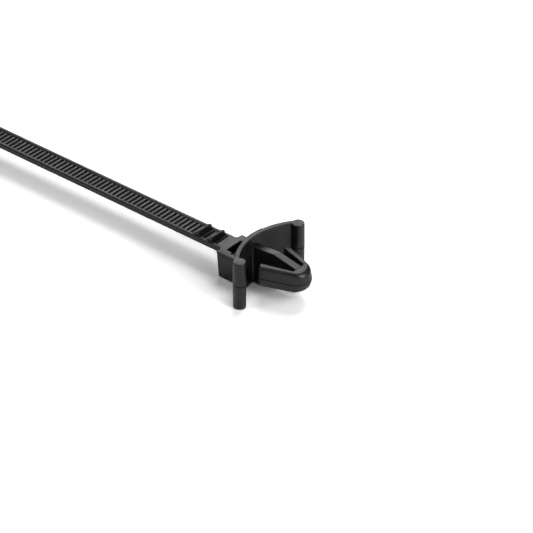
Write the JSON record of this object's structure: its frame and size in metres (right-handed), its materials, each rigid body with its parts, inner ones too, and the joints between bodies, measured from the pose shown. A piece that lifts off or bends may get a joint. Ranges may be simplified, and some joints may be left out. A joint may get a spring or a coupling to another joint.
{
  "type": "arrowhead push mount cable tie",
  "caption": "Black nylon cable tie with a toothed strap, a locking head, a curved spring wing with round posts and a barbed arrowhead that snaps into a panel hole.",
  "frame": {"origin": "on the arrowhead's axis, in the plane of the panel face that the two posts press on", "axes": "+X along the arrowhead towards its nose, through the panel hole; -X along the strap to its tail; +Z out of the side of the head that the tail enters; Y across the strap, from post to post"},
  "size_m": [0.1681, 0.0184, 0.0094],
  "materials": {
    "black_nylon": "satin moulded nylon 6/6"
  },
  "bodies": {
    "root": {"cable_tie": "black_nylon"}
  },
  "joints": []
}
